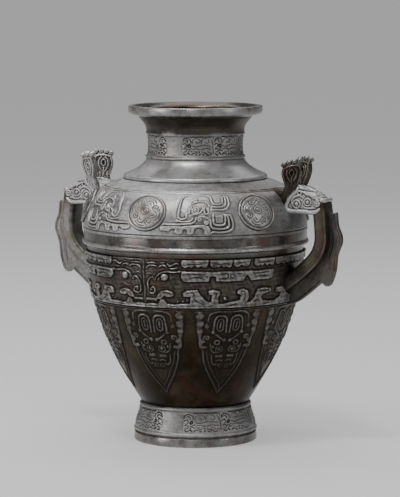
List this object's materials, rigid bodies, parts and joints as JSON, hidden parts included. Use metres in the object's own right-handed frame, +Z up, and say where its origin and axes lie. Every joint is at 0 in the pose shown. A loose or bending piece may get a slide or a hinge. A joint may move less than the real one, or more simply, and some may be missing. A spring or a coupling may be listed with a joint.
{
  "type": "bronze vase",
  "caption": "Round-bodied footed bronze vase with a flared mouth, relief bands, shoulder roundels and two beast-head handles.",
  "frame": {"origin": "on the vertical axis, at the underside of the foot rim, which is the middle of the object's box", "axes": "+Z up along the vase's axis, handles along +X and -X, the front roundel and mask face -Y"},
  "size_m": [0.3448, 0.2478, 0.36],
  "materials": {
    "bronze_plain": "dark brown bronze patina, smooth and semi-gloss, reddish in places",
    "bronze_relief": "dark brown bronze patina, worn bright on the raised relief and dark in the ground",
    "bronze_roundel": "dark bronze patina, worn bright on the whorls",
    "bronze_handle": "dark bronze patina with olive in the hollows",
    "bronze_beast": "dark bronze patina, worn bright on the bosses and the fingers of the horns",
    "bronze_inner": "rough cast bronze, matt and nearly black"
  },
  "bodies": {
    "root": {"foot_rim": "bronze_plain", "foot": "bronze_relief", "base_plate": "bronze_inner", "belly": "bronze_relief", "frieze_band": "bronze_relief", "girdle": "bronze_plain", "shoulder": "bronze_relief", "collar": "bronze_plain", "neck": "bronze_relief", "mouth_rim": "bronze_plain", "roundel_1": "bronze_roundel", "roundel_2": "bronze_roundel", "roundel_3": "bronze_roundel", "roundel_4": "bronze_roundel", "roundel_5": "bronze_roundel", "roundel_6": "bronze_roundel", "handle_arm_right": "bronze_handle", "handle_arm_left": "bronze_handle", "handle_fin_right": "bronze_handle", "handle_fin_left": "bronze_handle", "beast_head_right": "bronze_beast", "beast_head_left": "bronze_beast", "horn_right_front": "bronze_beast", "horn_right_back": "bronze_beast", "horn_left_front": "bronze_beast", "horn_left_back": "bronze_beast", "head_peg_right": "bronze_inner", "head_peg_left": "bronze_inner", "arm_peg_right": "bronze_inner", "arm_peg_left": "bronze_inner"}
  },
  "joints": []
}
